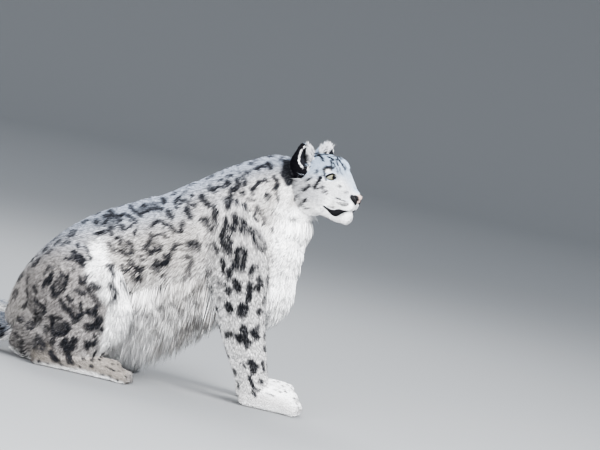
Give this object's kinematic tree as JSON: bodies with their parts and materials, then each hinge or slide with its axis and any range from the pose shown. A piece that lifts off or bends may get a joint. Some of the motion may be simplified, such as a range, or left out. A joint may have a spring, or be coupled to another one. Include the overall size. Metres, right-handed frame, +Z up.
{
  "type": "snow leopard",
  "caption": "Still, life-size snow leopard sitting with straight forelegs and its head turned to the right, in a spotted grey-white winter coat.",
  "frame": {"origin": "on the floor, under the middle of the box round the whole animal, tail included", "axes": "+X ahead, the way the trunk faces; +Y the animal's left; +Z up"},
  "size_m": [1.1294, 0.5666, 0.6809],
  "materials": {
    "coat": "smoke-grey spotted fur, matte",
    "long_fur": "long pale grey to white fur in soft locks, matte",
    "white_fur": "short white fur, matte",
    "ear": "short black fur behind, white hairs inside, matte",
    "nose": "damp dark skin, satin",
    "eye": "pale grey-green iris under a clear wet surface, gloss"
  },
  "bodies": {
    "root": {"head": "coat", "jaw": "white_fur", "nose": "nose", "eye_right": "eye", "ear_right": "ear", "eye_left": "eye", "ear_left": "ear", "upper_arm_right": "coat", "forearm_right": "coat", "forepaw_right": "white_fur", "thigh_right": "coat", "shank_right": "coat", "hind_foot_right": "white_fur", "upper_arm_left": "coat", "forearm_left": "coat", "forepaw_left": "white_fur", "thigh_left": "coat", "shank_left": "coat", "hind_foot_left": "white_fur", "rump": "coat", "loin": "long_fur", "chest": "long_fur", "neck": "coat", "tail_1": "coat", "tail_2": "coat", "tail_3": "coat", "tail_4": "coat", "tail_5": "coat"}
  },
  "joints": []
}
